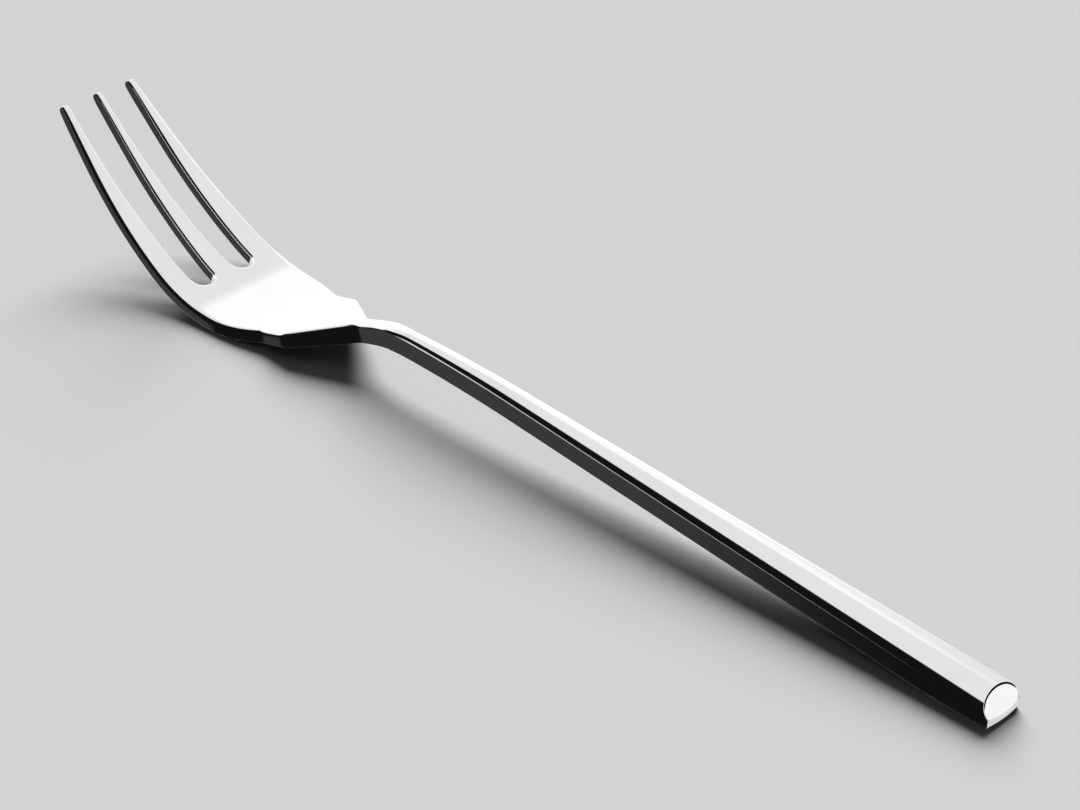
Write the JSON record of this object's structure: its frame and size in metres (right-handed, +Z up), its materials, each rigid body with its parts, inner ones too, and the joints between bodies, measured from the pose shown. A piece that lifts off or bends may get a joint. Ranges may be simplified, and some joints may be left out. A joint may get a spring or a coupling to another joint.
{
  "type": "fish fork",
  "caption": "Slim fish fork with a tapered hollow handle, a waisted neck, squared ears below the cheeks and tapered, upswept tines, in mirror-polished steel.",
  "frame": {"origin": "middle of the fork's box, on the table that it lies on with its tines up", "axes": "+X from the handle end to the tine tips, +Z up from the table, Y across the fork"},
  "size_m": [0.1924, 0.0212, 0.0251],
  "materials": {
    "head_steel": "mirror-polished stainless steel",
    "top_shell_steel": "mirror-polished stainless steel",
    "bottom_shell_steel": "mirror-polished stainless steel",
    "end_plate_steel": "mirror-polished stainless steel",
    "cement": "cast cement, hidden"
  },
  "bodies": {
    "root": {"fork_head": "head_steel", "handle_top_shell": "top_shell_steel", "handle_bottom_shell": "bottom_shell_steel", "handle_end_plate": "end_plate_steel", "handle_filling": "cement"}
  },
  "joints": []
}
